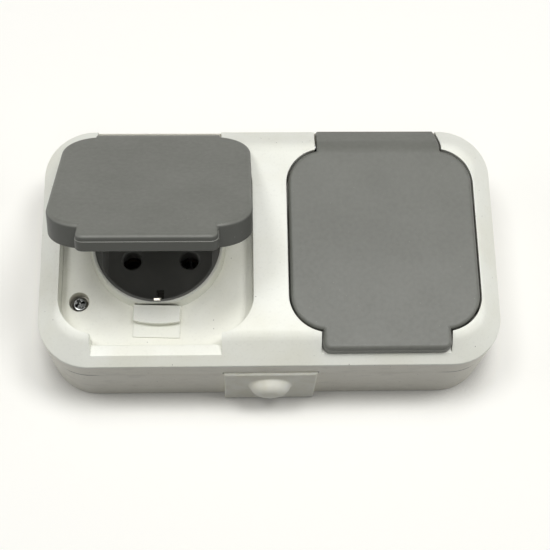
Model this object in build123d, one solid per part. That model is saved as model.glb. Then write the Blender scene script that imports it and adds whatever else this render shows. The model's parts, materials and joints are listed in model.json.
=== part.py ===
from build123d import *
import os
from math import asin, atan, cos, degrees, hypot, radians, sin, tan

# Outdoor weatherproof double socket: a two-part housing with two hinged lids over round earthed sockets.
# Frame: origin on the back face under the middle of the pin line, +Z out of the wall, +X along the
# housing, +Y towards the hinges. It lies on its back, with the left lid part open and the right one shut.
# Sizes are in millimetres.

# Housing
socket_pitch = 71.0        # between the centres of the two sockets
rim_side = 6.9             # lid pocket to the side of the housing
rim_front = 8.6            # lid pocket to the lower side
rim_back = 9.65            # lid pocket to the upper side, where the hinges are
corner_radius = 16.0       # corners of the housing in plan
face_height = 41.5         # back to the flat of the front face
seam_height = 24.7         # back to the joint of base and cover
wall = 2.4                 # side walls
floor_thickness = 2.4      # back wall
bevel_drop = 7.5           # depth of the sloped rim of the cover
bevel_side = 7.2           # width of that slope along the short sides
bevel_end = 8.2            # width of that slope along the long sides
crease_radius = 6.0        # soft crease between face and slope
bevel_edge_radius = 0.6    # crisper edge between slope and side wall
back_edge_radius = 0.8
seam_chamfer = 0.12

# Tongue, groove and gasket of the joint
lip_thickness = 1.2        # each cheek of the cover's groove
tongue_thickness = 1.1
tongue_height = 1.8
groove_gap = 0.1           # tongue to each side of the groove
gasket_height = 1.2
lip_roof = 1.1             # plastic over the groove

# Lid pockets
pocket_width = 60.2
pocket_front = 31.4        # pin line to the lower edge of the pocket
pocket_back = 30.35        # pin line to the upper edge of the pocket
pocket_corner = 12.2
pocket_depth = 8.3
pocket_floor = 2.0
front_notch = 40.3         # width of the gap for the lid's finger tab
land_drop = 4.8            # face to the raised land under the finger tab
land_start = 33.7          # pin line to the land

# Collar round each socket
collar_bore = 19.85
collar_base = 21.5
collar_land = 0.9
collar_height = 4.3        # above the pocket floor
collar_edge_radius = 0.3

# Lids
lid_gap = 0.6              # lid to the sides of its pocket
relief_gap = 0.2           # rear corners to the pocket's rim in the swing
relief_steps = 5           # points on the curve of that relief
lid_proud = 0.4
lid_thickness = 2.0
lid_depth = 7.4            # top of the lid to the foot of its skirt
lid_skirt = 1.6
skirt_end = 12.0           # the skirt stops here, short of the hinge
lid_edge_radius = 1.2
tab_reach = 37.1           # pin line to the front of the finger tab
tab_gap = 0.3              # finger tab to the sides of its notch
tab_thickness = 4.8
tab_corner = 2.5
tab_ledge = 0.2            # moulding ledge round the finger tab
tab_ledge_drop = 1.9
open_angle = 40.0          # of the left lid as it stands

# Hinges
hinge_inset = 7.0          # upper side of the housing to the hinge line
hinge_drop = 5.7           # front face to the hinge line
hinge_tab = 40.0           # width of the lid's hinge tab at the pocket
hinge_draft = 0.5          # it narrows by this on each side
hinge_slope_length = 10.9  # length of the tab's sloped part
knuckle_radius = 2.8
pin_radius = 1.5
pin_running_gap = 0.05
pin_seat_gap = 0.02
pin_bearing = 1.8          # length of pin in each wall of the notch
swing_gap = 0.6
tab_crease_radius = 8.0
hinge_edge_radius = 0.7

# Seals and snap hooks of the lids
seal_inner = 18.7
seal_width = 3.0
seal_gap = 0.3             # shut seal to the collar
seal_rib = 1.0
seal_rib_depth = 1.6
hook_width = 10.0
hook_thickness = 1.5
hook_lip = 0.8
hook_lip_height = 0.8
hook_gap = 0.35            # hook to the catch
hook_lift = 0.7            # foot of the hook above the catch's apron

# Lid catches
catch_width = 14.6
catch_back = 20.6          # pin line to the plate's edge at the collar
catch_front = 30.4         # pin line to the plate's lower edge
catch_nose = 26.7          # pin line to the middle of the curved step
catch_nose_sag = 0.9       # bulge of the curved step
catch_height = 3.1
catch_apron = 0.4
catch_undercut = 1.2
catch_roof = 1.3           # lip over the undercut
catch_edge_radius = 0.4
catch_stem = (10.0, 2.0, 4.0)
catch_gap = 0.35
catch_tilt = 2.0           # the left plate sits a little crooked

# Socket inserts
recess_depth = 17.5        # collar top to the floor of the plug recess
recess_radius = 18.9
insert_radius = 19.7       # spigot inside the collar
insert_drop = 1.0          # collar top to the rim of the spigot
barrel_radius = 21.5       # under the cover
barrel_gap = 0.2
guide_half = 17.2          # flat guides at both sides of the recess
insert_floor = 3.0
pin_spacing = 19.0
pin_hole = 3.0
pin_hole_chamfer = 0.5
slot_width = 2.5           # slots of the earth clip
slot_start = 10.3
slot_end = 19.3
ear_reach = 26.5           # socket centre to the fixing screws
ear_radius = 4.2

# Contacts, carriers and links
carrier_size = (36.0, 42.0)
carrier_corner = 4.0
carrier_plate = 1.6
carrier_lift = 2.0         # height of the ribs under it
rib_y = 8.3
rib_thickness = 2.0
carrier_body = (34.0, 25.0)
chamber_half = 4.2
sleeve_radius = 3.3
sleeve_bore = 2.45
sleeve_slit = 1.0
sleeve_headroom = 4.5      # insert to the contact sleeves
sleeve_gap = 0.4           # sleeves to the roof over them
roof_clearance = 0.5       # passages in that roof, wider than the pin holes
tail_width = 5.0
tail_thickness = 1.0
terminal_size = 7.0
terminal_headroom = 3.0    # terminals to the insert over them
terminal_y = 16.7
clip_width = 2.0
clip_thickness = 0.8
clip_headroom = 0.15
clip_foot = 17.6           # outside of the arms at the recess floor
clip_nip = 16.3            # inside of the arms where the plug touches
clip_tip = 19.1            # outside of the arms at the tip
clip_tip_drop = 0.6        # rim of the insert to the tip
clip_nip_height = 10.5     # recess floor to the nip
link_radius = 1.2
link_gap = 0.1
link_overrun = 0.5
earth_y = 14.5
earth_link_width = 3.0
earth_link_thickness = 0.8

# Screws and fixing holes
cover_screw_x = 24.5       # from the socket centre, away from the middle
cover_screw_y = 18.5
counterbore_radius = 3.15
counterbore_depth = 4.0
boss_radius = 4.6
boss_floor = 2.0
post_radius = 4.2
head_radius = 2.5
head_height = 1.9
head_edge_radius = 0.75
shank_radius = 1.5
shank_length = 12.0
shank_gap = 0.08
cross_width = 1.0
cross_length = 3.8
cross_depth = 1.1
fixing_x = 50.0
fixing_y = 30.0
fixing_radius = 2.4
fixing_boss_radius = 5.0
fixing_boss_height = 2.6

# Cable entry plate
entry_width = 29.5
entry_bottom = 1.1
entry_rise = 1.4           # top of the plate above the joint of base and cover
entry_proud = 2.1          # lower edge of the plate to the wall
entry_proud_top = 0.9      # the plate leans out towards the floor
entry_neck = 25.0
entry_gap = 0.5            # plate to the notch in the cover
entry_flange = 1.6
entry_edge_radius = 0.6
dome_radius = 6.8
dome_foot_radius = 0.8
dome_height = 3.6
dome_nose = 2.2            # flat at the tip
dome_bulge = 0.7           # roundness of its flank
dome_skin = 1.1
dome_rise = 1.7            # dome above the plate's middle

# Places worked out from the sizes above
housing_width = socket_pitch + pocket_width + 2 * rim_side
front_edge = -(pocket_front + rim_front)
back_edge = pocket_back + rim_back
housing_depth = back_edge - front_edge
housing_mid = (back_edge + front_edge) / 2
bevel_z = face_height - bevel_drop
pocket_z = face_height - pocket_depth
pocket_mid = (pocket_back - pocket_front) / 2
land_z = face_height - land_drop
collar_z = pocket_z + collar_height
lid_z = face_height + lid_proud
lid_under = lid_z - lid_thickness
above = lid_z + 1
recess_z = collar_z - recess_depth
rim_z = collar_z - insert_drop
insert_z = recess_z - insert_floor
carrier_z = floor_thickness + carrier_lift
shelf_z = carrier_z + carrier_plate
terminal_height = insert_z - shelf_z - terminal_headroom
boss_z = pocket_z - counterbore_depth - boss_floor
entry_height = seam_height + entry_rise - entry_bottom
hinge_y = back_edge - hinge_inset
hinge_z = face_height - hinge_drop
sockets = {"left": -socket_pitch / 2, "right": socket_pitch / 2}
cover_screw_places = [
    (side * (socket_pitch / 2 + cover_screw_x), row * cover_screw_y) for side in (-1, 1) for row in (-1, 1)
]
ear_places = [(middle + side * ear_reach, 0) for middle in sockets.values() for side in (-1, 1)]
fixing_places = [(side * fixing_x, row * fixing_y) for side in (-1, 1) for row in (-1, 1)]

# The hinge tab runs parallel to the cover's slope, and the trough clears its swing.
slope_length = hypot(bevel_end, bevel_drop)
slope = (bevel_end / slope_length, -bevel_drop / slope_length)
tab_crease = (back_edge - bevel_end, lid_z)
tab_tip = (
    tab_crease[0] + slope[0] * hinge_slope_length,
    tab_crease[1] + slope[1] * hinge_slope_length,
)
tab_heel = (tab_tip[0] + slope[1] * lid_thickness, tab_tip[1] - slope[0] * lid_thickness)
trough_radius = max(hypot(y - hinge_y, z - hinge_z) for y, z in (tab_tip, tab_heel)) + swing_gap


def span_box(xs, ys, zs):
    middle = [(low + high) / 2 for low, high in (xs, ys, zs)]
    sizes = [high - low for low, high in (xs, ys, zs)]
    return Pos(*middle) * Box(*sizes)


def rounded_prism(width, depth, radius, bottom, top, y_mid):
    return Pos(0, y_mid, bottom) * extrude(RectangleRounded(width, depth, radius), top - bottom)


def upright(x, y, radius, bottom, top):
    return Pos(x, y, (bottom + top) / 2) * Cylinder(radius, top - bottom)


def bar_along_x(y, z, radius, start, end):
    return Pos((start + end) / 2, y, z) * Rot(0, 90, 0) * Cylinder(radius, end - start)


def profile_along_x(face, half_width):
    return extrude(Plane.YZ.offset(-half_width) * face, 2 * half_width)


def turned(points):
    return revolve(Plane.XZ * make_face(Polyline(*points, close=True)), Axis.Z)


def housing_prism(inset, bottom, top):
    return rounded_prism(
        housing_width - 2 * inset, housing_depth - 2 * inset, corner_radius - inset, bottom, top, housing_mid
    )


def housing_ring(outer_inset, inner_inset, bottom, top):
    return housing_prism(outer_inset, bottom, top) - housing_prism(inner_inset, bottom - 1, top + 1)


def cover_hull(inset):
    # Side walls and sloped rim, set in by an even wall; the slope is near 45 degrees.
    crease_shift = tan(radians(22.5)) * inset
    low = bevel_z - crease_shift
    high = face_height - inset
    side = bevel_side + crease_shift
    end = bevel_end + crease_shift
    foot = RectangleRounded(housing_width - 2 * inset, housing_depth - 2 * inset, corner_radius - inset)
    crown_corner = corner_radius - (bevel_side + bevel_end) / 2
    crown = RectangleRounded(housing_width - 2 * side, housing_depth - 2 * end, crown_corner)
    rim = loft([Pos(0, housing_mid, low) * foot, Pos(0, housing_mid, high) * crown], ruled=True)
    return housing_prism(inset, seam_height, low) + rim


def hinge_trough(grow):
    # Rounded gutter that clears the hinge tab, open above and to the upper side.
    radius = trough_radius + grow
    reach = hinge_tab / 2 + lid_gap + grow
    gutter = bar_along_x(hinge_y, hinge_z, radius, -hinge_tab, hinge_tab)
    gutter += span_box((-hinge_tab, hinge_tab), (hinge_y - radius, back_edge + 1), (hinge_z, above))
    inner = hinge_y - radius - 1
    plan = Polyline(
        (-reach, inner),
        (reach, inner),
        (reach, pocket_back),
        (reach - hinge_draft, back_edge + 1),
        (-reach + hinge_draft, back_edge + 1),
        (-reach, pocket_back),
        close=True,
    )
    bottom = hinge_z - radius - 1
    return gutter & (Pos(0, 0, bottom) * extrude(make_face(plan), above - bottom))


def lid_pocket(grow):
    floor = pocket_z - grow
    half = front_notch / 2 + grow
    pocket = rounded_prism(
        pocket_width + 2 * grow,
        pocket_front + pocket_back + 2 * grow,
        pocket_corner + grow,
        floor,
        above,
        pocket_mid,
    )
    pocket += span_box((-half, half), (-land_start - grow, 0), (floor, above))
    pocket += span_box((-half, half), (front_edge - 1, 0), (land_z - grow, above))
    return pocket + hinge_trough(grow)


def collar():
    base = pocket_z - pocket_floor
    ring = turned(
        [
            (collar_bore, base),
            (collar_bore, collar_z),
            (collar_bore + collar_land, collar_z),
            (collar_base, pocket_z),
            (collar_base, base),
        ]
    )
    return fillet(ring.faces().sort_by(Axis.Z)[-1].edges(), collar_edge_radius)


def catch_stem_hole():
    half = catch_stem[0] / 2 + catch_gap
    back = -catch_stem_y() + catch_stem[1] / 2 + catch_gap
    front = -catch_stem_y() - catch_stem[1] / 2 - catch_gap
    return span_box((-half, half), (front, back), (boss_z, pocket_z))


def catch_stem_y():
    return (catch_back + catch_nose - catch_nose_sag) / 2


def front_cover():
    hull = cover_hull(0)
    hull = fillet(hull.faces().sort_by(Axis.Z)[-1].edges(), crease_radius)
    slope_foot = hull.edges().filter_by(lambda edge: abs(edge.center().Z - bevel_z) < 0.05)
    hull = fillet(slope_foot, bevel_edge_radius)
    hull = chamfer(hull.faces().sort_by(Axis.Z)[0].edges(), seam_chamfer)
    hollow = cover_hull(wall)
    for x in sockets.values():
        hollow -= Pos(x, 0, 0) * lid_pocket(pocket_floor)
    cover = hull - hollow

    # Thickened foot with the gasket groove
    groove_width = tongue_thickness + 2 * groove_gap
    foot_inset = 2 * lip_thickness + groove_width
    groove_top = seam_height + tongue_height + gasket_height
    cover += housing_ring(wall / 2, foot_inset, seam_height, groove_top + lip_roof)
    cover -= housing_ring(lip_thickness, lip_thickness + groove_width, seam_height - 1, groove_top)

    for x, y in cover_screw_places:
        cover += upright(x, y, boss_radius, boss_z, pocket_z - pocket_floor / 2)
    for x in sockets.values():
        place = Pos(x, 0, 0)
        cover -= place * lid_pocket(0)
        cover += place * collar()
        cover -= place * upright(0, 0, collar_bore, boss_z, above)
        catch_half = catch_width / 2 + catch_gap
        ys = (-catch_front, -catch_back + catch_gap)
        cover -= place * span_box((-catch_half, catch_half), ys, (pocket_z, above))
        cover -= place * catch_stem_hole()
        bearing = hinge_tab / 2 + lid_gap + pin_bearing + pin_seat_gap
        cover -= place * bar_along_x(hinge_y, hinge_z, pin_radius + pin_seat_gap, -bearing, bearing)
    for x, y in cover_screw_places:
        cover -= upright(x, y, counterbore_radius, pocket_z - counterbore_depth, above)
        cover -= upright(x, y, shank_radius + shank_gap, boss_z - 1, above)

    notch_half = entry_width / 2 + entry_gap
    notch_top = entry_bottom + entry_height + entry_gap
    ys = (front_edge - 1, front_edge + 2 * wall)
    cover -= span_box((-notch_half, notch_half), ys, (entry_bottom, notch_top))
    return cover


def cover_gasket():
    inset = lip_thickness + groove_gap
    bottom = seam_height + tongue_height
    ring = housing_ring(inset, inset + tongue_thickness, bottom, bottom + gasket_height)
    half = entry_width / 2 + entry_gap
    zs = (bottom - 1, bottom + gasket_height + 1)
    return ring - span_box((-half, half), (front_edge, front_edge + 2 * wall), zs)


def base_box():
    shell = housing_prism(0, 0, seam_height)
    shell = fillet(shell.faces().sort_by(Axis.Z)[0].edges(), back_edge_radius)
    shell = chamfer(shell.faces().sort_by(Axis.Z)[-1].edges(), seam_chamfer)
    base = shell - housing_prism(wall, floor_thickness, seam_height + 1)
    tongue_inset = lip_thickness + groove_gap
    base += housing_ring(
        tongue_inset, tongue_inset + tongue_thickness, seam_height - 1, seam_height + tongue_height
    )

    root = floor_thickness / 2
    for x, y in cover_screw_places:
        base += upright(x, y, post_radius, root, boss_z)
        base -= upright(x, y, shank_radius + shank_gap, floor_thickness, boss_z + 1)
    for x, y in ear_places:
        base += upright(x, y, ear_radius, root, insert_z)
        base -= upright(x, y, shank_radius + shank_gap, floor_thickness, insert_z + 1)
    for x in sockets.values():
        for row in (-1, 1):
            half = carrier_body[0] / 2
            ys = (row * rib_y - rib_thickness / 2, row * rib_y + rib_thickness / 2)
            base += Pos(x, 0, 0) * span_box((-half, half), ys, (root, carrier_z))
    for x, y in fixing_places:
        base += upright(x, y, fixing_boss_radius, root, floor_thickness + fixing_boss_height)
        base -= upright(x, y, fixing_radius, -1, above)
    half = terminal_size / 2
    y = earth_terminal_y()
    base += span_box((-half, half), (y - half, y + half), (root, earth_terminal_z()))

    ys = (front_edge - 1, front_edge + wall + 1)
    neck_half = entry_neck / 2
    base -= span_box((-neck_half, neck_half), ys, (entry_foot(), above))
    tongue_half = entry_width / 2 + entry_gap
    base -= span_box((-tongue_half, tongue_half), ys, (seam_height, above))
    return base


def entry_foot():
    return entry_bottom + (entry_width - entry_neck) / 2


def cable_entry_plate():
    half = entry_width / 2
    top = entry_bottom + entry_height
    profile = Polyline(
        (front_edge, entry_bottom),
        (front_edge - entry_proud, entry_bottom),
        (front_edge - entry_proud_top, top),
        (front_edge, top),
        close=True,
    )
    plate = profile_along_x(make_face(profile), half)
    plate = fillet(plate.faces().sort_by(Axis.Y)[0].edges(), entry_edge_radius)
    neck_half = entry_neck / 2
    inner = front_edge + wall
    plate += span_box((-neck_half, neck_half), (front_edge, inner), (entry_foot(), top))
    plate += span_box((-half, half), (front_edge, inner), (seam_height, top))
    plate += span_box((-half, half), (inner, inner + entry_flange), (floor_thickness, top))

    # Blind dome, pierced when the cable goes in; it stands square to the leaning face.
    def dome(radius, nose, height):
        flank = ((radius + nose) / 2 + dome_bulge, height / 2 + dome_bulge)
        side = ThreePointArc((radius, 0), flank, (nose, height))
        rest = Polyline((nose, height), (0, height), (0, 0), (radius, 0))
        return revolve(Plane.XZ * make_face([side, *rest.edges()]), Axis.Z)

    lean = (entry_proud - entry_proud_top) / entry_height
    dome_z = entry_bottom + entry_height / 2 + dome_rise
    face = front_edge - entry_proud + lean * (dome_z - entry_bottom)
    place = Pos(0, face, dome_z) * Rot(90 - degrees(atan(lean)), 0, 0)
    plate += place * dome(dome_radius, dome_nose, dome_height)
    rings = plate.edges().filter_by(GeomType.CIRCLE)
    plate = fillet([ring for ring in rings if abs(ring.radius - dome_radius) < 0.01], dome_foot_radius)
    bore = dome_radius - dome_skin
    depth = inner + entry_flange - face + 1
    plate -= place * Pos(0, 0, -depth / 2) * Cylinder(bore, depth)
    plate -= place * dome(bore, dome_nose, dome_height - dome_skin)
    return plate


def pan_head_screw(x, y, seat, length):
    screw = upright(x, y, head_radius, seat, seat + head_height)
    screw = fillet(screw.faces().sort_by(Axis.Z)[-1].edges(), head_edge_radius)
    screw += upright(x, y, shank_radius, seat - length, seat)
    for along_x, along_y in ((cross_length, cross_width), (cross_width, cross_length)):
        slot = Box(along_x, along_y, cross_depth)
        screw -= Pos(x, y, seat + head_height - cross_depth / 2) * slot
    return screw


def cover_screws():
    seat = pocket_z - counterbore_depth
    return Compound(children=[pan_head_screw(x, y, seat, shank_length) for x, y in cover_screw_places])


def insert_screws():
    return Compound(children=[pan_head_screw(x, y, recess_z, shank_length) for x, y in ear_places])


def socket_insert():
    barrel_top = pocket_z - pocket_floor - barrel_gap
    body = upright(0, 0, barrel_radius, insert_z, barrel_top)
    body += upright(0, 0, insert_radius, insert_z, rim_z)
    body += span_box((-ear_reach, ear_reach), (-ear_radius, ear_radius), (insert_z, recess_z))
    for side in (-1, 1):
        body += upright(side * ear_reach, 0, ear_radius, insert_z, recess_z)
        body -= upright(side * ear_reach, 0, shank_radius + shank_gap, insert_z - 1, recess_z + 1)
    recess = upright(0, 0, recess_radius, recess_z, above)
    recess &= span_box((-guide_half, guide_half), (-recess_radius, recess_radius), (recess_z, above))
    body -= recess
    slot_half = slot_width / 2
    for side in (-1, 1):
        x = side * pin_spacing / 2
        body -= upright(x, 0, pin_hole, insert_z - 1, recess_z + 1)
        mouth = Pos(x, 0, recess_z - pin_hole_chamfer / 2)
        body -= mouth * Cone(pin_hole, pin_hole + pin_hole_chamfer, pin_hole_chamfer)
        ys = sorted((side * slot_start, side * slot_end))
        body -= span_box((-slot_half, slot_half), ys, (insert_z - 1, above))
    return body


def earth_clip():
    # One bent strip: a bridge under the recess floor and two sprung arms in the slots.
    strip = clip_thickness
    bridge_top = insert_z - clip_headroom
    bridge = bridge_top - strip
    nip_z = recess_z + clip_nip_height
    tip_z = rim_z - clip_tip_drop
    centre_line = [
        (-clip_tip + strip / 2, tip_z),
        (-clip_nip - strip / 2, nip_z),
        (-clip_foot + strip / 2, recess_z),
        (-clip_foot + strip / 2, bridge + strip / 2),
        (clip_foot - strip / 2, bridge + strip / 2),
        (clip_foot - strip / 2, recess_z),
        (clip_nip + strip / 2, nip_z),
        (clip_tip - strip / 2, tip_z),
    ]
    path = FilletPolyline(*centre_line, radius=strip)
    return profile_along_x(trace(path, strip), clip_width / 2)


def contact(row):
    # Slit sleeve that grips a plug pin, with a tail to its screw terminal.
    top = insert_z - sleeve_headroom
    body = upright(0, 0, sleeve_radius, shelf_z, top)
    tail_end = terminal_y - terminal_size / 2 + 1
    ys = sorted((row * sleeve_bore, row * tail_end))
    body += span_box((-tail_width / 2, tail_width / 2), ys, (shelf_z, shelf_z + tail_thickness))
    body -= upright(0, 0, sleeve_bore, shelf_z - 1, top + 1)
    slit = sorted((0, -row * (sleeve_radius + 1)))
    body -= span_box((-sleeve_slit / 2, sleeve_slit / 2), slit, (shelf_z - 1, top + 1))
    y = row * terminal_y
    middle = shelf_z + terminal_height / 2
    body += Pos(0, y, middle) * Box(terminal_size, terminal_size, terminal_height)
    half = terminal_size / 2 + 1
    body -= bar_along_x(y, middle, link_radius + link_gap, -half, half)
    return body - upright(0, y, shank_radius + shank_gap, middle, shelf_z + terminal_height + 1)


def contact_carrier():
    width, depth = carrier_size
    body = rounded_prism(width, depth, carrier_corner, carrier_z, shelf_z, 0)
    half_x, half_y = carrier_body[0] / 2, carrier_body[1] / 2
    body += span_box((-half_x, half_x), (-half_y, half_y), (shelf_z, insert_z))
    roof = insert_z - sleeve_headroom + sleeve_gap
    for side, row in ((-1, 1), (1, -1)):
        x = side * pin_spacing / 2
        ys = sorted((-row * chamber_half, row * (half_y + 1)))
        body -= span_box((x - chamber_half, x + chamber_half), ys, (shelf_z, roof))
        body -= upright(x, 0, pin_hole + roof_clearance, roof - 1, insert_z + 1)
    groove_half = slot_width / 2
    groove = insert_z - clip_headroom - clip_thickness
    body -= span_box((-groove_half, groove_half), (-half_y - 1, half_y + 1), (groove, insert_z + 1))
    return body


def straight_link(row):
    # Round conductor through the terminals of the same pole in both sockets.
    pole = -row * pin_spacing / 2
    overrun = terminal_size / 2 + link_overrun
    start = sockets["left"] + pole - overrun
    end = sockets["right"] + pole + overrun
    return bar_along_x(row * terminal_y, shelf_z + terminal_height / 2, link_radius, start, end)


def earth_link_z():
    return insert_z - clip_headroom - clip_thickness


def earth_terminal_z():
    return earth_link_z() - earth_link_thickness - terminal_size


def earth_terminal_y():
    # The earth terminal stands inside the live link.
    return terminal_y - link_radius - 2 * link_overrun - terminal_size / 2


def earth_link():
    top = earth_link_z()
    bottom = top - earth_link_thickness
    half = earth_link_width / 2
    end = socket_pitch / 2 + clip_width / 2
    link = span_box((-end, end), (earth_y - half, earth_y + half), (bottom, top))
    side = terminal_size / 2
    y = earth_terminal_y()
    link += span_box((-side, side), (y - side, earth_y + half), (bottom, top))
    link += Pos(0, y, bottom - side) * Box(terminal_size, terminal_size, terminal_size)
    return link - upright(0, y, shank_radius + shank_gap, bottom - side, top + 1)


def terminal_screws():
    clamp = shelf_z + terminal_height / 2 + link_radius
    top = shelf_z + terminal_height + link_overrun
    screws = []
    for x in sockets.values():
        for row in (-1, 1):
            pole = x - row * pin_spacing / 2
            screw = upright(pole, row * terminal_y, shank_radius, clamp, top)
            slot = Box(2 * shank_radius, cross_width, cross_width)
            screws.append(screw - Pos(pole, row * terminal_y, top) * slot)
    screws.append(pan_head_screw(0, earth_terminal_y(), earth_link_z(), terminal_size / 2))
    return Compound(children=screws)


def lid_catch():
    half = catch_width / 2
    corner_y = -catch_nose + catch_nose_sag
    back_line = Polyline((half, corner_y), (half, -catch_back), (-half, -catch_back), (-half, corner_y))
    nose = ThreePointArc((-half, corner_y), (0, -catch_nose), (half, corner_y))
    plateau = make_face([*back_line.edges(), nose])
    body = Pos(0, 0, pocket_z) * extrude(plateau, catch_height)
    undercut = Pos(0, 0, pocket_z) * extrude(plateau, catch_height - catch_roof)
    body -= undercut - Pos(0, catch_undercut, 0) * undercut
    body += span_box((-half, half), (-catch_front, -catch_back), (pocket_z, pocket_z + catch_apron))
    body = fillet(body.faces().sort_by(Axis.Z)[-1].edges(), catch_edge_radius)
    width, depth, length = catch_stem
    stem = Pos(0, -catch_stem_y(), pocket_z - length / 2) * Box(width, depth, length)
    return body + stem


def hinge_tab_body():
    # Tab over the cover's rim, sloped near 45 degrees, with the knuckle under it.
    start = pocket_back - pocket_corner
    under_crease = (tab_crease[0] - lid_thickness * tan(radians(22.5)), lid_under)
    outline = [(start, lid_under), (start, lid_z), tab_crease, tab_tip, tab_heel, under_crease]
    face = make_face(Polyline(*outline, close=True))
    crease = face.vertices().sort_by_distance((*tab_crease, 0))[0]
    face = fillet(crease, tab_crease_radius)
    half = hinge_tab / 2
    tab = profile_along_x(face, half)
    plan = Polyline(
        (-half, start),
        (half, start),
        (half, pocket_back),
        (half - hinge_draft, tab_tip[0]),
        (-half + hinge_draft, tab_tip[0]),
        (-half, pocket_back),
        close=True,
    )
    bottom = hinge_z - trough_radius
    tab &= Pos(0, 0, bottom) * extrude(make_face(plan), above - bottom)
    upper = tab.faces().filter_by(lambda side: side.normal_at().Z > slope[0] / 2)
    sides = [edge for side in upper for edge in side.edges() if abs(edge.center().X) > half - 2 * hinge_draft]
    tab = fillet(sides, hinge_edge_radius)
    knuckle_half = half - hinge_draft - lid_gap
    return tab + bar_along_x(hinge_y, hinge_z, knuckle_radius, -knuckle_half, knuckle_half)


def finger_tab():
    half = front_notch / 2 - tab_gap
    start = -pocket_front + lid_gap + lid_skirt

    def tier(start, inset, bottom, top):
        body = span_box((inset - half, half - inset), (inset - tab_reach, start), (bottom, top))
        front = body.edges().filter_by(Axis.Z).group_by(Axis.Y)[0]
        return fillet(front, tab_corner - inset)

    ledge = lid_z - tab_ledge_drop
    inside = pocket_corner - pocket_front
    upper = tier(inside, tab_ledge, lid_under, lid_z)
    rounded = upper.faces().sort_by(Axis.Z)[-1].edges().filter_by(lambda edge: edge.center().Y < inside - 0.1)
    return fillet(rounded, lid_edge_radius) + tier(start, 0, lid_z - tab_thickness, ledge)


def swing_relief():
    # Turned about the hinge line: the room that the pocket's rim takes under the rear corners.
    corner_x = pocket_width / 2 - pocket_corner
    corner_y = pocket_back - pocket_corner
    start = degrees(asin((hinge_tab / 2 - corner_x) / pocket_corner))
    end = degrees(asin(1 - lid_gap / pocket_corner))
    points = []
    for step in range(relief_steps + 1):
        angle = radians(start + (end - start) * step / relief_steps)
        rim = corner_y + pocket_corner * cos(angle)
        points.append((corner_x + pocket_corner * sin(angle), hypot(hinge_y - rim + relief_gap, hinge_drop)))
    curve = Spline(*points)
    sides = Polyline(points[-1], (points[-1][0], 0), (points[0][0], 0), points[0])
    tool = Pos(0, hinge_y, hinge_z) * revolve(make_face([curve, *sides.edges()]), Axis.X)
    return tool + mirror(tool, Plane.YZ)


def lid():
    width = pocket_width - 2 * lid_gap
    front = -pocket_front + lid_gap
    back = pocket_back - lid_gap
    mid = (front + back) / 2
    depth = back - front
    corner = pocket_corner - lid_gap
    foot = lid_z - lid_depth
    plate = rounded_prism(width, depth, corner, lid_under, lid_z, mid)
    plate = fillet(plate.faces().sort_by(Axis.Z)[-1].edges(), lid_edge_radius)
    plate -= swing_relief()
    skirt = rounded_prism(width, depth, corner, foot, lid_z - lid_edge_radius, mid)
    skirt -= rounded_prism(
        width - 2 * lid_skirt, depth - 2 * lid_skirt, corner - lid_skirt, foot - 1, lid_under, mid
    )
    skirt -= span_box((-width, width), (skirt_end, back + 1), (foot - 1, above))
    catch_room = catch_width / 2 + 2 * catch_gap
    ys = (front - 1, front + 2 * lid_skirt)
    skirt -= span_box((-catch_room, catch_room), ys, (foot - 1, lid_z - tab_thickness))
    body = plate + skirt + finger_tab() + hinge_tab_body()

    rib_inner = seal_inner + seal_width + seal_gap
    rib = upright(0, 0, rib_inner + seal_rib, lid_under - seal_rib_depth, lid_under + 0.1)
    body += rib - upright(0, 0, rib_inner, lid_under - seal_rib_depth - 1, lid_under + 0.1)

    lip_y = -catch_nose - hook_gap
    hook_y = lip_y - hook_lip
    hook_foot = pocket_z + catch_apron + hook_lift
    hook_half = hook_width / 2
    ys = (hook_y - hook_thickness, hook_y)
    body += span_box((-hook_half, hook_half), ys, (hook_foot, lid_under + lid_thickness / 2))
    body += span_box((-hook_half, hook_half), (hook_y, lip_y), (hook_foot, hook_foot + hook_lip_height))
    return body - bar_along_x(hinge_y, hinge_z, pin_radius + pin_running_gap, -hinge_tab, hinge_tab)


def lid_seal():
    bottom = collar_z + seal_gap
    ring = upright(0, 0, seal_inner + seal_width, bottom, lid_under)
    return ring - upright(0, 0, seal_inner, bottom - 1, lid_under + 1)


def hinge_pin():
    half = hinge_tab / 2 + lid_gap + pin_bearing
    return bar_along_x(hinge_y, hinge_z, pin_radius, -half, half)


def swung(shape, angle):
    return Pos(0, hinge_y, hinge_z) * Rot(-angle, 0, 0) * Pos(0, -hinge_y, -hinge_z) * shape


def crooked(shape, angle):
    y = -catch_stem_y()
    return Pos(0, y, 0) * Rot(0, 0, -angle) * Pos(0, -y, 0) * shape


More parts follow.
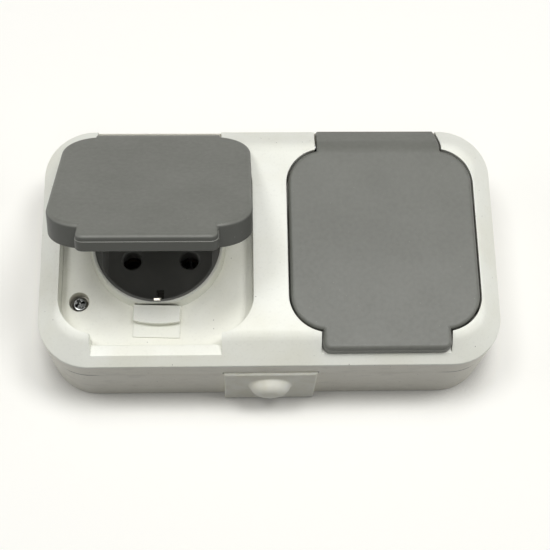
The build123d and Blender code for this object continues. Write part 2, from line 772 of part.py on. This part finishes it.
nodes = {
    "base_box": base_box(),
    "front_cover": front_cover(),
    "cover_gasket": cover_gasket(),
    "cover_screws": cover_screws(),
    "insert_screws": insert_screws(),
    "cable_entry_plate": cable_entry_plate(),
    "live_link": straight_link(1),
    "neutral_link": straight_link(-1),
    "earth_link": earth_link(),
    "terminal_screws": terminal_screws(),
}
lid_angles = {"left": open_angle, "right": 0.0}
catch_angles = {"left": catch_tilt, "right": 0.0}
lid_shape = lid()
seal_shape = lid_seal()
insert_shape = socket_insert()
carrier_shape = contact_carrier()
clip_shape = earth_clip()
catch_shape = lid_catch()
for name, x in sockets.items():
    place = Pos(x, 0, 0)
    nodes[name + "_socket_insert"] = place * insert_shape
    nodes[name + "_contact_carrier"] = place * carrier_shape
    nodes[name + "_earth_clip"] = place * clip_shape
    nodes[name + "_live_contact"] = place * Pos(-pin_spacing / 2, 0, 0) * contact(1)
    nodes[name + "_neutral_contact"] = place * Pos(pin_spacing / 2, 0, 0) * contact(-1)
    nodes[name + "_lid_catch"] = place * crooked(catch_shape, catch_angles[name])
    nodes[name + "_hinge_pin"] = place * hinge_pin()
    nodes[name + "_lid"] = place * swung(lid_shape, lid_angles[name])
    nodes[name + "_lid_seal"] = place * swung(seal_shape, lid_angles[name])

os.makedirs("parts", exist_ok=True)
for name, shape in nodes.items():
    export_step(shape, "parts/" + name + ".step")
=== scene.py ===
import json
import math
import bmesh
import bpy
from mathutils import Matrix, Vector


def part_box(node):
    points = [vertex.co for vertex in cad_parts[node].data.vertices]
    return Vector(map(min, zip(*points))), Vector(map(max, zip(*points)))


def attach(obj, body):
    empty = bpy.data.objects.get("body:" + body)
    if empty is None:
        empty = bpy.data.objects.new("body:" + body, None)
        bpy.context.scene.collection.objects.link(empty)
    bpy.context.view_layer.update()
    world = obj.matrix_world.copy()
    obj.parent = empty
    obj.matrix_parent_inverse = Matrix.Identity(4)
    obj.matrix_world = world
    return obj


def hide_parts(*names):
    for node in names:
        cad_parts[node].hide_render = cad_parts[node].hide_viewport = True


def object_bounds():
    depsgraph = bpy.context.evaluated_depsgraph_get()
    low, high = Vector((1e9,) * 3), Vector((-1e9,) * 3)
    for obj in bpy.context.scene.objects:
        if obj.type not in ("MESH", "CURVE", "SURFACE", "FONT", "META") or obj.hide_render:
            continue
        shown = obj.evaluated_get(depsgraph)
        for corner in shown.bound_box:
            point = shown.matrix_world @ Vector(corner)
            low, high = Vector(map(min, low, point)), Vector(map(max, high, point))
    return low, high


# Outdoor double socket with hinged lids: finishes, screws, seals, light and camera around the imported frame.
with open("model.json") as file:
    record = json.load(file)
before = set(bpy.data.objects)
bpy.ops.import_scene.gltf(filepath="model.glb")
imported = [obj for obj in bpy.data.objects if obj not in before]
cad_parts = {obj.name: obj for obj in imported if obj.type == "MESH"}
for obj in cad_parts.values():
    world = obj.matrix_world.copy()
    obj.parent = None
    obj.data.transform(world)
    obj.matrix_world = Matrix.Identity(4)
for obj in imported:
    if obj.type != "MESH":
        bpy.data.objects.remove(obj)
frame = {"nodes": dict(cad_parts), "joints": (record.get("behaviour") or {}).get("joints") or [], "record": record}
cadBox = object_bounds()
nodes = frame["nodes"]
joints = {joint["name"]: joint for joint in frame["joints"]}
mm = 0.001
print("frame:", len(nodes), "nodes,", len(joints), "hinges")


def linear(red, green, blue):
    # screen colour, 0 to 255, to the shader's linear one
    parts = [part / 255 for part in (red, green, blue)]
    return tuple(p / 12.92 if p <= 0.04045 else ((p + 0.055) / 1.055) ** 2.4 for p in parts) + (1.0,)


class Wire:
    # one output socket, used in sums
    def __init__(self, finish, node, out):
        self.finish = finish
        self.node = node
        self.socket = node.outputs[out] if node.outputs else None

    def out(self, name):
        return Wire(self.finish, self.node, name)

    def sums(self, operation, first, second):
        return self.finish.make("ShaderNodeMath", {"operation": operation}, {0: first, 1: second})

    def __add__(self, other):
        return self.sums("ADD", self, other)

    def __radd__(self, other):
        return self.sums("ADD", other, self)

    def __sub__(self, other):
        return self.sums("SUBTRACT", self, other)

    def __rsub__(self, other):
        return self.sums("SUBTRACT", other, self)

    def __mul__(self, other):
        return self.sums("MULTIPLY", self, other)

    def __rmul__(self, other):
        return self.sums("MULTIPLY", other, self)

    def __lt__(self, other):
        return self.sums("LESS_THAN", self, other)

    def __abs__(self):
        return self.sums("ABSOLUTE", self, 0.0)


class Finish:
    # the nodes of one material or world; sizes of patterns are in metres on the object
    rays = 6

    def __init__(self, name, shelf=bpy.data.materials):
        self.owner = shelf.new(name)
        self.owner.use_nodes = True
        self.tree = self.owner.node_tree
        self.tree.nodes.clear()
        self.place = self.make("ShaderNodeTexCoord", out="Object")

    def make(self, kind, settings=None, sockets=None, out=0):
        node = self.tree.nodes.new(kind)
        for key, value in (settings or {}).items():
            setattr(node, key, value)
        for key, value in (sockets or {}).items():
            if isinstance(value, Wire):
                self.tree.links.new(value.socket, node.inputs[key])
            else:
                node.inputs[key].default_value = value
        return Wire(self, node, out)

    def axes(self):
        split = self.make("ShaderNodeSeparateXYZ", None, {0: self.place}, "X")
        return split, split.out("Y"), split.out("Z")

    def stretched(self, scale):
        return self.make("ShaderNodeMapping", None, {"Vector": self.place, "Scale": scale})

    def noise(self, size, detail=2.0, place=None):
        sockets = {"Vector": place or self.place, "Scale": 1 / size, "Detail": detail, "Roughness": 0.55}
        return self.make("ShaderNodeTexNoise", None, sockets)

    def fade(self, value, low, high):
        # 0 at low, 1 at high, with a soft start and end
        sockets = {"Value": value, "From Min": low, "From Max": high}
        return self.make("ShaderNodeMapRange", {"interpolation_type": "SMOOTHSTEP"}, sockets)

    def specks(self, spacing, radius, share):
        # round dots in some of the cells
        sockets = {"Vector": self.place, "Scale": 1 / spacing}
        cells = self.make("ShaderNodeTexVoronoi", None, sockets, "Distance")
        lot = self.make("ShaderNodeSeparateColor", None, {0: cells.out("Color")}, "Red")
        edge = radius / spacing
        return self.fade(cells, edge, edge / 2) * (lot < share)

    def crevice(self, reach):
        # 0 in the open, 1 deep in a corner
        settings = {"samples": self.rays}
        return 1 - self.make("ShaderNodeAmbientOcclusion", settings, {"Distance": reach}, "AO")

    def mix(self, factor, first, second):
        return self.make("ShaderNodeMix", {"data_type": "RGBA"}, {0: factor, 6: first, 7: second}, 2)

    def agreement(self, first, second):
        # 1 where two directions are the same
        settings = {"operation": "DOT_PRODUCT"}
        return self.make("ShaderNodeVectorMath", settings, {0: first, 1: second}, "Value")

    def rounded(self, radius):
        # normal with softened edges
        return self.make("ShaderNodeBevel", {"samples": self.rays}, {"Radius": radius})

    def edgeWearHighlight(self, soft):
        # how far the softened normal leaves the true one, a mask for edge wear and painted edge highlight
        return 1 - self.agreement(soft, self.make("ShaderNodeNewGeometry", None, None, "Normal"))

    def bump(self, height, depth, strength, normal):
        sockets = {"Height": height, "Distance": depth, "Strength": strength, "Normal": normal}
        return self.make("ShaderNodeBump", None, sockets)

    def seen(self):
        # 1 for the eye, also by reflection and through glass
        path = self.make("ShaderNodeLightPath", None, None, "Is Camera Ray")
        return path + path.out("Is Glossy Ray") + path.out("Is Transmission Ray")

    def surface(self, sockets):
        return self.close(self.make("ShaderNodeBsdfPrincipled", None, sockets))

    def close(self, shader, end="ShaderNodeOutputMaterial"):
        self.make(end, None, {"Surface": shader})
        return self.owner


housingLook = {
    "white": linear(243, 244, 235),
    "aged": linear(236, 236, 223),
    "yellowed": linear(243, 239, 224),
    "grimeAndGapShade": linear(112, 107, 96),
    "speckAndSeamShade": linear(84, 80, 72),
    "roughness": 0.4,
    "edge": 0.25 * mm,
    "cloudSize": 22 * mm,
    "cloudFade": (0.35, 0.75),
    "grainSize": 0.35 * mm,
    "grainDepth": 0.02 * mm,
    "wallTop": (33.5 * mm, 32.5 * mm),
    "wallYellow": 0.8,
    "scuffSize": 3.6 * mm,
    "scuffStretch": (0.6, 0.6, 1),
    "scuffFade": (0.48, 0.8),
    "scuffDark": 0.14,
    "dustSize": 0.9 * mm,
    "dustFade": (0.5, 0.8),
    "dustDark": 0.07,
    "seam": 24.7 * mm,
    "seamOpens": (52 * mm, 57 * mm),
    "seamCloses": (66 * mm, 62 * mm),
    "seamFront": (-30 * mm, -34 * mm),
    "seamLine": (0.5 * mm, 0.2 * mm),
    "seamGapeShade": 0.8,
    "gapReach": 0.9 * mm,
    "gapFade": (0.36, 0.8),
    "gapShadeDark": 0.85,
    "dots": (2.6 * mm, 0.2 * mm, 0.3),
    "dotDark": 0.8,
    "stains": (6.0 * mm, 0.5 * mm, 0.12),
    "stainDark": 0.25,
}


def housingPlastic():
    look = housingLook
    f = Finish("housingPlastic")
    x, y, z = f.axes()
    cloud = f.noise(look["cloudSize"], 3)
    grain = f.noise(look["grainSize"])
    colour = f.mix(f.fade(cloud, *look["cloudFade"]), look["white"], look["aged"])
    # the walls are yellower, with handling marks
    wall = f.fade(z, *look["wallTop"])
    colour = f.mix(wall * look["wallYellow"], colour, look["yellowed"])
    scuff = f.fade(f.noise(look["scuffSize"], 5, f.stretched(look["scuffStretch"])), *look["scuffFade"])
    colour = f.mix(scuff * wall * look["scuffDark"], colour, look["grimeAndGapShade"])
    dust = f.fade(f.noise(look["dustSize"], 3), *look["dustFade"])
    colour = f.mix(dust * look["dustDark"], colour, look["grimeAndGapShade"])
    # painted shade: a dark line where the joint gapes a little at the front corners
    side = abs(x)
    gape = f.fade(side, *look["seamOpens"]) * f.fade(side, *look["seamCloses"]) * f.fade(y, *look["seamFront"])
    line = f.fade(abs(z - look["seam"]), *look["seamLine"])
    colour = f.mix(gape * line * look["seamGapeShade"], colour, look["speckAndSeamShade"])
    # painted shade in the gaps, then dark specks and stains
    gap = f.fade(f.crevice(look["gapReach"]), *look["gapFade"])
    colour = f.mix(gap * look["gapShadeDark"], colour, look["grimeAndGapShade"])
    colour = f.mix(f.specks(*look["dots"]) * look["dotDark"], colour, look["speckAndSeamShade"])
    colour = f.mix(f.specks(*look["stains"]) * look["stainDark"], colour, look["grimeAndGapShade"])
    return f.surface({
        "Base Color": colour,
        "Roughness": look["roughness"] + 0.16 * (grain - 0.5) + 0.1 * (cloud - 0.5),
        "Normal": f.bump(grain, look["grainDepth"], 0.2, f.rounded(look["edge"])),
    })


lidLook = {
    "grey": linear(107, 108, 102),
    "deep": linear(99, 100, 94),
    "paleWearHighlightSpeck": linear(158, 159, 152),
    "sideShadeColour": linear(60, 61, 57),
    "sideShadeShare": {"left": 0.9, "right": 0.0},
    "sideShadeFade": (0.7, 0.2),
    "roughness": 0.48,
    "edge": 0.3 * mm,
    "cloudSize": 16 * mm,
    "mottleSize": 1.4 * mm,
    "patchFade": (0.3, 0.7),
    "grainSize": 0.3 * mm,
    "grainDepth": 0.02 * mm,
    "edgeWearHighlightFade": (0.0, 0.12),
    "edgeWearHighlightPale": 0.45,
    "dots": (1.9 * mm, 0.14 * mm, 0.22),
    "dotPale": 0.5,
    "hairSize": 0.5 * mm,
    "hairStretch": (0.05, 1.2, 1),
    "hairFade": (0.68, 0.74),
    "hairPlace": (0.5, 0.6),
}


def lidPlastic(side):
    look = lidLook
    f = Finish(side + "LidPlastic")
    cloud = f.noise(look["cloudSize"], 3)
    mottle = f.noise(look["mottleSize"], 4)
    grain = f.noise(look["grainSize"])
    patch = f.fade(mottle, *look["patchFade"]) * 0.5 + f.fade(cloud, *look["patchFade"]) * 0.5
    colour = f.mix(patch, look["grey"], look["deep"])
    # painted shade: on the open lid, the faces turned away from its plate are darker
    hinge = joints[side + "_lid_hinge"]
    opened = math.radians(-hinge["range_deg"][0])
    flat = Matrix.Rotation(opened, 3, Vector(hinge["axis"])) @ Vector((0, 0, 1))
    level = f.agreement(f.make("ShaderNodeTexCoord", out="Normal"), flat)
    colour = f.mix(f.fade(level, *look["sideShadeFade"]) * look["sideShadeShare"][side], colour, look["sideShadeColour"])
    soft = f.rounded(look["edge"])
    # pale edges: wear and painted edge highlight
    colour = f.mix(f.fade(f.edgeWearHighlight(soft), *look["edgeWearHighlightFade"]) * look["edgeWearHighlightPale"], colour, look["paleWearHighlightSpeck"])
    colour = f.mix(f.specks(*look["dots"]) * look["dotPale"], colour, look["paleWearHighlightSpeck"])
    # hairlines from wiping
    hair = f.noise(look["hairSize"], 1, f.stretched(look["hairStretch"]))
    rub = f.fade(hair, *look["hairFade"]) * f.fade(cloud, *look["hairPlace"])
    return f.surface({
        "Base Color": colour,
        "Roughness": look["roughness"] + 0.12 * (mottle - 0.5) + 0.1 * (cloud - 0.5) - 0.1 * rub,
        "Normal": f.bump(grain, look["grainDepth"], 0.2, soft),
    })


insertLook = {
    "black": linear(120, 120, 116),
    "dusty": linear(134, 133, 127),
    "wornHighlitSpeck": linear(176, 176, 169),
    "roughness": 0.46,
    "edge": 0.2 * mm,
    "cloudSize": 6 * mm,
    "cloudFade": (0.45, 0.8),
    "cloudPale": 0.4,
    "grainSize": 0.4 * mm,
    "grainDepth": 0.02 * mm,
    "edgeWearHighlightFade": (0.03, 0.2),
    "edgeWearHighlightPale": 0.5,
    "dots": (2.6 * mm, 0.12 * mm, 0.12),
    "dotPale": 0.5,
}


def insertPlastic():
    look = insertLook
    f = Finish("insertPlastic")
    cloud = f.noise(look["cloudSize"], 4)
    grain = f.noise(look["grainSize"])
    colour = f.mix(f.fade(cloud, *look["cloudFade"]) * look["cloudPale"], look["black"], look["dusty"])
    soft = f.rounded(look["edge"])
    # pale edges: wear and painted edge highlight
    colour = f.mix(f.fade(f.edgeWearHighlight(soft), *look["edgeWearHighlightFade"]) * look["edgeWearHighlightPale"], colour, look["wornHighlitSpeck"])
    colour = f.mix(f.specks(*look["dots"]) * look["dotPale"], colour, look["wornHighlitSpeck"])
    return f.surface({
        "Base Color": colour,
        "Roughness": look["roughness"] + 0.2 * (grain - 0.5),
        "Normal": f.bump(grain, look["grainDepth"], 0.3, soft),
    })


entryLook = {
    "beige": linear(247, 246, 234),
    "dull": linear(239, 237, 222),
    "grimeAndGapShade": linear(150, 145, 131),
    "roughness": 0.5,
    "edge": 0.3 * mm,
    "cloudSize": 5 * mm,
    "cloudFade": (0.35, 0.75),
    "grainSize": 0.5 * mm,
    "grainDepth": 0.03 * mm,
    "gapReach": 1.0 * mm,
    "gapFade": (0.4, 0.95),
    "gapShadeDark": 0.3,
    "dots": (3.2 * mm, 0.15 * mm, 0.15),
    "dotDark": 0.5,
    "softness": 0.15,
    "softRadius": (2.0 * mm, 1.8 * mm, 1.2 * mm),
}


def entryPlastic():
    look = entryLook
    f = Finish("entryPlastic")
    cloud = f.noise(look["cloudSize"], 4)
    grain = f.noise(look["grainSize"])
    colour = f.mix(f.fade(cloud, *look["cloudFade"]), look["beige"], look["dull"])
    # painted shade in the gaps
    gap = f.fade(f.crevice(look["gapReach"]), *look["gapFade"])
    colour = f.mix(gap * look["gapShadeDark"], colour, look["grimeAndGapShade"])
    colour = f.mix(f.specks(*look["dots"]) * look["dotDark"], colour, look["grimeAndGapShade"])
    return f.surface({
        "Base Color": colour,
        "Roughness": look["roughness"] + 0.16 * (cloud - 0.5),
        "Normal": f.bump(grain, look["grainDepth"], 0.3, f.rounded(look["edge"])),
        "Subsurface Weight": look["softness"],
        "Subsurface Radius": look["softRadius"],
        "Subsurface Scale": 1.0,
    })


rubberLook = {
    "black": linear(42, 42, 41),
    "dust": linear(88, 86, 82),
    "roughness": 0.72,
    "edge": 0.2 * mm,
    "cloudSize": 2.4 * mm,
    "cloudFade": (0.48, 0.8),
    "cloudPale": 0.6,
    "grainSize": 0.25 * mm,
    "grainDepth": 0.03 * mm,
}


def sealRubber():
    look = rubberLook
    f = Finish("sealRubber")
    cloud = f.noise(look["cloudSize"], 4)
    grain = f.noise(look["grainSize"])
    dust = f.fade(cloud, *look["cloudFade"]) * look["cloudPale"]
    return f.surface({
        "Base Color": f.mix(dust, look["black"], look["dust"]),
        "Roughness": look["roughness"] + 0.2 * (cloud - 0.5),
        "Normal": f.bump(grain, look["grainDepth"], 0.4, f.rounded(look["edge"])),
    })


metalLooks = {
    "zincSteel": {
        "bright": linear(134, 135, 134),
        "dull": linear(40, 41, 40),
        "roughness": 0.14,
        "dents": 0.5,
        "recessShaded": False,
    },
    "nickelSpring": {
        "bright": linear(236, 232, 220),
        "dull": linear(186, 178, 163),
        "roughness": 0.3,
        "dents": 0.1,
        "recessShaded": True,
    },
    "terminalBrass": {
        "bright": linear(124, 103, 66),
        "dull": linear(62, 50, 32),
        "roughness": 0.34,
        "dents": 0.1,
        "recessShaded": True,
    },
}
metalGrain = {
    "edge": 0.12 * mm,
    "bloomSize": 1.1 * mm,
    "bloomFade": (0.42, 0.78),
    "gapReach": 0.8 * mm,
    "gapFade": (0.3, 0.8),
    "drawnSize": 0.12 * mm,
    "drawnStretch": (0.08, 1, 1),
    "drawnDepth": 0.01 * mm,
    "dentSize": 0.7 * mm,
    "dentDepth": 0.06 * mm,
    "deep": linear(30, 29, 26),
    "recessShadeFade": (31 * mm, 23 * mm),
    "recessShadeDark": 0.9,
}


def metal(name):
    look, wide = metalLooks[name], metalGrain
    f = Finish(name)
    bloom = f.noise(wide["bloomSize"], 4)
    drawn = f.noise(wide["drawnSize"], 2, f.stretched(wide["drawnStretch"]))
    gap = f.fade(f.crevice(wide["gapReach"]), *wide["gapFade"])
    tarnish = f.fade(bloom, *wide["bloomFade"]) * 0.6 + gap * 0.4
    colour = f.mix(tarnish, look["bright"], look["dull"])
    # painted shade: the bare metal is darker towards the bottom of the recess
    if look["recessShaded"]:
        height = f.axes()[2]
        colour = f.mix(f.fade(height, *wide["recessShadeFade"]) * wide["recessShadeDark"], colour, wide["deep"])
    dents = f.noise(wide["dentSize"])
    dented = f.bump(dents, wide["dentDepth"], look["dents"], f.rounded(wide["edge"]))
    return f.surface({
        "Base Color": colour,
        "Metallic": 1.0,
        "Roughness": look["roughness"] + 0.25 * (bloom - 0.4) + 0.12 * (drawn - 0.5),
        "Normal": f.bump(drawn, wide["drawnDepth"], 0.25, dented),
    })


finishes = {
    "housing_plastic": housingPlastic(),
    "lid_plastic": lidPlastic("right"),
    "insert_plastic": insertPlastic(),
    "entry_plastic": entryPlastic(),
    "seal_rubber": sealRubber(),
    "zinc_steel": metal("zincSteel"),
    "nickel_spring": metal("nickelSpring"),
    "terminal_brass": metal("terminalBrass"),
}
for part in frame["record"]["subparts"]:
    mesh = nodes[part["node"]].data
    mesh.materials.clear()
    mesh.materials.append(finishes[part["material_slot"]])
nodes["left_lid"].data.materials[0] = lidPlastic("left")
print("finishes:", len(finishes), "slots on the frame's nodes")


def addPiece(name, bm, body, slot, replaced):
    mesh = bpy.data.meshes.new(name)
    bm.to_mesh(mesh)
    bm.free()
    piece = bpy.data.objects.new(name, mesh)
    bpy.context.scene.collection.objects.link(piece)
    mesh.materials.append(finishes[slot])
    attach(piece, body)
    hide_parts(replaced)


def polar(radius, turn, height):
    # point on a circle round Z, with the turn as a share of the whole
    angle = 2 * math.pi * turn
    return Vector((radius * math.cos(angle), radius * math.sin(angle), height))


def bridge(bm, first, second):
    for i in range(len(first)):
        j = (i + 1) % len(first)
        bm.faces.new((first[i], first[j], second[j], second[i]))


lidSeal = {"width": 3 * mm, "lips": 2, "valley": 0.7 * mm, "round": 0.6, "segments": 128, "steps": 28}


def sealProfile(inner, outer, low, high):
    # flat back against the lid, rounded lips towards the collar
    points = [(inner, high)]
    for step in range(lidSeal["steps"] + 1):
        share = step / lidSeal["steps"]
        wave = abs(math.sin(math.pi * lidSeal["lips"] * share)) ** lidSeal["round"]
        points.append((inner + (outer - inner) * share, low + lidSeal["valley"] * (1 - wave)))
    points.append((outer, high))
    return points


def lidSeals():
    low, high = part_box("right_lid_seal")
    outer = (high.x - low.x) / 2
    middle = (low + high) / 2
    profile = sealProfile(outer - lidSeal["width"], outer, low.z, high.z)
    for side, x in (("left", -middle.x), ("right", middle.x)):
        hinge = joints[side + "_lid_hinge"]
        pivot = Matrix.Translation(Vector(hinge["pos_m"]))
        opened = math.radians(-hinge["range_deg"][0])
        swing = pivot @ Matrix.Rotation(opened, 4, Vector(hinge["axis"])) @ pivot.inverted()
        place = swing @ Matrix.Translation((x, middle.y, 0))
        bm = bmesh.new()
        rings = []
        for step in range(lidSeal["segments"]):
            turn = step / lidSeal["segments"]
            rings.append([bm.verts.new(place @ polar(r, turn, h)) for r, h in profile])
        for ring, following in zip(rings, rings[1:] + rings[:1]):
            bridge(bm, ring, following)
        bmesh.ops.recalc_face_normals(bm, faces=bm.faces)
        for face in bm.faces:
            face.smooth = True
        addPiece(side + "SealRing", bm, side + "_lid_body", "seal_rubber", side + "_lid_seal")


lidSeals()
print("lid seals made")

coverScrew = {
    "headRadius": 2.5 * mm,
    "headHeight": 1.9 * mm,
    "flat": 1.75 * mm,
    "bendSteps": 6,
    "crest": 1.48 * mm,
    "root": 1.15 * mm,
    "pitch": 1.1 * mm,
    "steepness": 4,
    "point": 2.0 * mm,
    "tip": 0.08,
    "segments": 32,
    "rowsPerTurn": 8,
    "crossHalf": 1.62 * mm,
    "crossWidth": 0.5 * mm,
    "crossCore": 0.28 * mm,
    "crossDepth": 1.3 * mm,
    "crossTaper": 0.55,
    "turns": (24, 71, 8, 52),
}


def crossLoop(bm, scale, height):
    # cross of four wings with cut inner corners
    long, wide, core = (coverScrew[key] * scale for key in ("crossHalf", "crossWidth", "crossCore"))
    quarter = [(wide + core, wide), (wide, wide + core), (wide, long), (-wide, long)]
    loop = []
    for step in range(4):
        turn = Matrix.Rotation(step * math.pi / 2, 3, "Z")
        loop += [bm.verts.new(turn @ Vector((x, y, height))) for x, y in quarter]
    return loop


def screwHead(bm):
    look = coverScrew
    top = look["headHeight"]
    bend = look["headRadius"] - look["flat"]
    profile = [(look["root"], 0), (look["headRadius"], 0)]
    for step in range(look["bendSteps"] + 1):
        angle = step / look["bendSteps"] * math.pi / 2
        profile.append((look["flat"] + bend * math.cos(angle), top - bend + bend * math.sin(angle)))
    turns = [step / look["segments"] for step in range(look["segments"])]
    rings = [[bm.verts.new(polar(radius, turn, height)) for turn in turns] for radius, height in profile]
    for lower, upper in zip(rings, rings[1:]):
        bridge(bm, lower, upper)
    mouth = crossLoop(bm, 1.0, top)
    foot = crossLoop(bm, look["crossTaper"], top - look["crossDepth"])
    bridge(bm, mouth, foot)
    bm.faces.new(foot)
    edges = []
    for loop in (rings[-1], mouth):
        for pair in zip(loop, loop[1:] + loop[:1]):
            edges.append(bm.edges.get(pair) or bm.edges.new(pair))
    bmesh.ops.triangle_fill(bm, use_beauty=True, use_dissolve=False, edges=edges)
    return rings[0]


def screwShank(bm, collar, length):
    look = coverScrew
    rows = int(length / look["pitch"] * look["rowsPerTurn"])
    last = collar
    for row in range(1, rows + 1):
        depth = length * row / rows
        taper = max(min(1.0, (length - depth) / look["point"]), look["tip"])
        ring = []
        for step in range(look["segments"]):
            turn = step / look["segments"]
            phase = (depth / look["pitch"] + turn) % 1.0
            rise = max(0.0, 1 - look["steepness"] * abs(phase - 0.5))
            radius = (look["root"] + (look["crest"] - look["root"]) * rise) * taper
            ring.append(bm.verts.new(polar(radius, turn, -depth)))
        bridge(bm, ring, last)
        last = ring
    bm.faces.new(last)


def coverScrews():
    look = coverScrew
    low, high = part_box("cover_screws")
    seat = high.z - look["headHeight"]
    inset = look["headRadius"]
    places = [(x, y) for x in (low.x + inset, high.x - inset) for y in (low.y + inset, high.y - inset)]
    whole = bmesh.new()
    for (x, y), turn in zip(places, look["turns"]):
        one = bmesh.new()
        screwShank(one, screwHead(one), seat - low.z)
        bmesh.ops.recalc_face_normals(one, faces=one.faces)
        place = Matrix.Translation((x, y, seat)) @ Matrix.Rotation(math.radians(turn), 4, "Z")
        bmesh.ops.transform(one, matrix=place, verts=one.verts)
        mesh = bpy.data.meshes.new("screw")
        one.to_mesh(mesh)
        one.free()
        whole.from_mesh(mesh)
        bpy.data.meshes.remove(mesh)
    addPiece("coverScrews", whole, "housing", "zinc_steel", "cover_screws")


coverScrews()
print("cover screws made")

floorLook = {
    "size": 12.0,
    "drop": 0.02 * mm,
    "white": linear(254, 254, 250),
    "matt": linear(251, 250, 245),
    "shade": linear(170, 168, 162),
    "shadeReach": 9 * mm,
    "shadeFade": (0.05, 0.5),
    "bounce": linear(137, 137, 137),
    "glow": 0.07,
    "plainFade": (0.08, 0.3),
}


def makeFloor():
    look = floorLook
    bm = bmesh.new()
    bmesh.ops.create_grid(bm, x_segments=1, y_segments=1, size=look["size"] / 2)
    mesh = bpy.data.meshes.new("floor")
    bm.to_mesh(mesh)
    bm.free()
    floor = bpy.data.objects.new("floor", mesh)
    floor.location.z = cadBox[0].z - look["drop"]
    bpy.context.scene.collection.objects.link(floor)
    # white to the eye, duller as a source of bounced light
    f = Finish("paleFloor")
    near = f.fade(f.crevice(look["shadeReach"]), *look["shadeFade"])
    matt = f.make("ShaderNodeBsdfDiffuse", None, {"Color": f.mix(near, look["matt"], look["shade"])})
    glow = f.make("ShaderNodeEmission", None, {"Color": look["white"], "Strength": look["glow"]})
    lit = f.make("ShaderNodeAddShader", None, {0: matt, 1: glow})
    # plain white beyond the object's shadow
    away = f.make("ShaderNodeVectorMath", {"operation": "LENGTH"}, {0: f.place}, "Value")
    plain = f.make("ShaderNodeEmission", None, {"Color": look["white"], "Strength": 1.0})
    far = f.fade(away, *look["plainFade"])
    bright = f.make("ShaderNodeMixShader", None, {0: far, 1: lit, 2: plain})
    bounce = f.make("ShaderNodeBsdfDiffuse", None, {"Color": look["bounce"]})
    both = f.make("ShaderNodeMixShader", None, {0: f.seen(), 1: bounce, 2: bright})
    mesh.materials.append(f.close(both))


studio = {
    "sky": 0.08,
    "skyTint": (1.0, 0.985, 0.94, 1.0),
    "lamps": {
        "leftOverhead": {"place": (-0.3, 0.05, 1.0), "size": 0.25, "watts": 2.4},
        "rightOverhead": {"place": (0.3, 0.05, 1.0), "size": 0.25, "watts": 3.4},
        "backOverhead": {"place": (0, 0.2, 1.0), "size": 0.25, "watts": 1.6},
        "frontOverhead": {"place": (0, -0.2, 1.0), "size": 0.25, "watts": 0.65},
        "frontHigh": {"place": (0, -0.5, 0.9), "size": 0.4, "watts": 0.4},
        "leftSide": {"place": (-1.0, 0, 0.5), "size": 0.6, "watts": 2.1},
        "rightSide": {"place": (1.0, 0, 0.5), "size": 0.6, "watts": 2.1},
    },
}


def makeSky():
    # dim as a source of light, white as a background
    f = Finish("studio", bpy.data.worlds)
    soft = f.make("ShaderNodeBackground", None, {"Color": studio["skyTint"], "Strength": studio["sky"]})
    white = f.make("ShaderNodeBackground", None, {"Color": floorLook["white"]})
    both = f.make("ShaderNodeMixShader", None, {0: f.seen(), 1: soft, 2: white})
    bpy.context.scene.world = f.close(both, "ShaderNodeOutputWorld")


def hangLamps():
    for name, look in studio["lamps"].items():
        lamp = bpy.data.lights.new(name, "AREA")
        lamp.shape = "DISK"
        lamp.energy = look["watts"]
        lamp.size = look["size"]
        hung = bpy.data.objects.new(name, lamp)
        hung.location = look["place"]
        hung.rotation_mode = "QUATERNION"
        hung.rotation_quaternion = (-hung.location).to_track_quat("-Z", "Y")
        bpy.context.scene.collection.objects.link(hung)


cameraFit = {
    "azimuth": -6.44,
    "elevation": 70.52,
    "roll": 5.71,
    "distance": 0.36247,
    "target": (0.001265, -0.01285, 0.0415),
    "lens": 76.43,
    "sensor": 36.0,
}


def aimCamera():
    fit = cameraFit
    a, e, r = (math.radians(fit[key]) for key in ("azimuth", "elevation", "roll"))
    back = Vector((math.sin(a) * math.cos(e), -math.cos(a) * math.cos(e), math.sin(e)))
    right = Vector((0, 0, 1)).cross(back).normalized()
    up = back.cross(right)
    across = right * math.cos(r) + up * math.sin(r)
    above = up * math.cos(r) - right * math.sin(r)
    camera = bpy.data.objects.new("camera", bpy.data.cameras.new("camera"))
    camera.data.lens = fit["lens"]
    camera.data.sensor_width = fit["sensor"]
    turn = Matrix((across, above, back)).transposed().to_4x4()
    camera.matrix_world = Matrix.Translation(Vector(fit["target"]) + back * fit["distance"]) @ turn
    bpy.context.scene.collection.objects.link(camera)
    bpy.context.scene.camera = camera


makeFloor()
makeSky()
hangLamps()
aimCamera()
bpy.context.scene.view_settings.view_transform = "Standard"
print("floor, light and camera set")
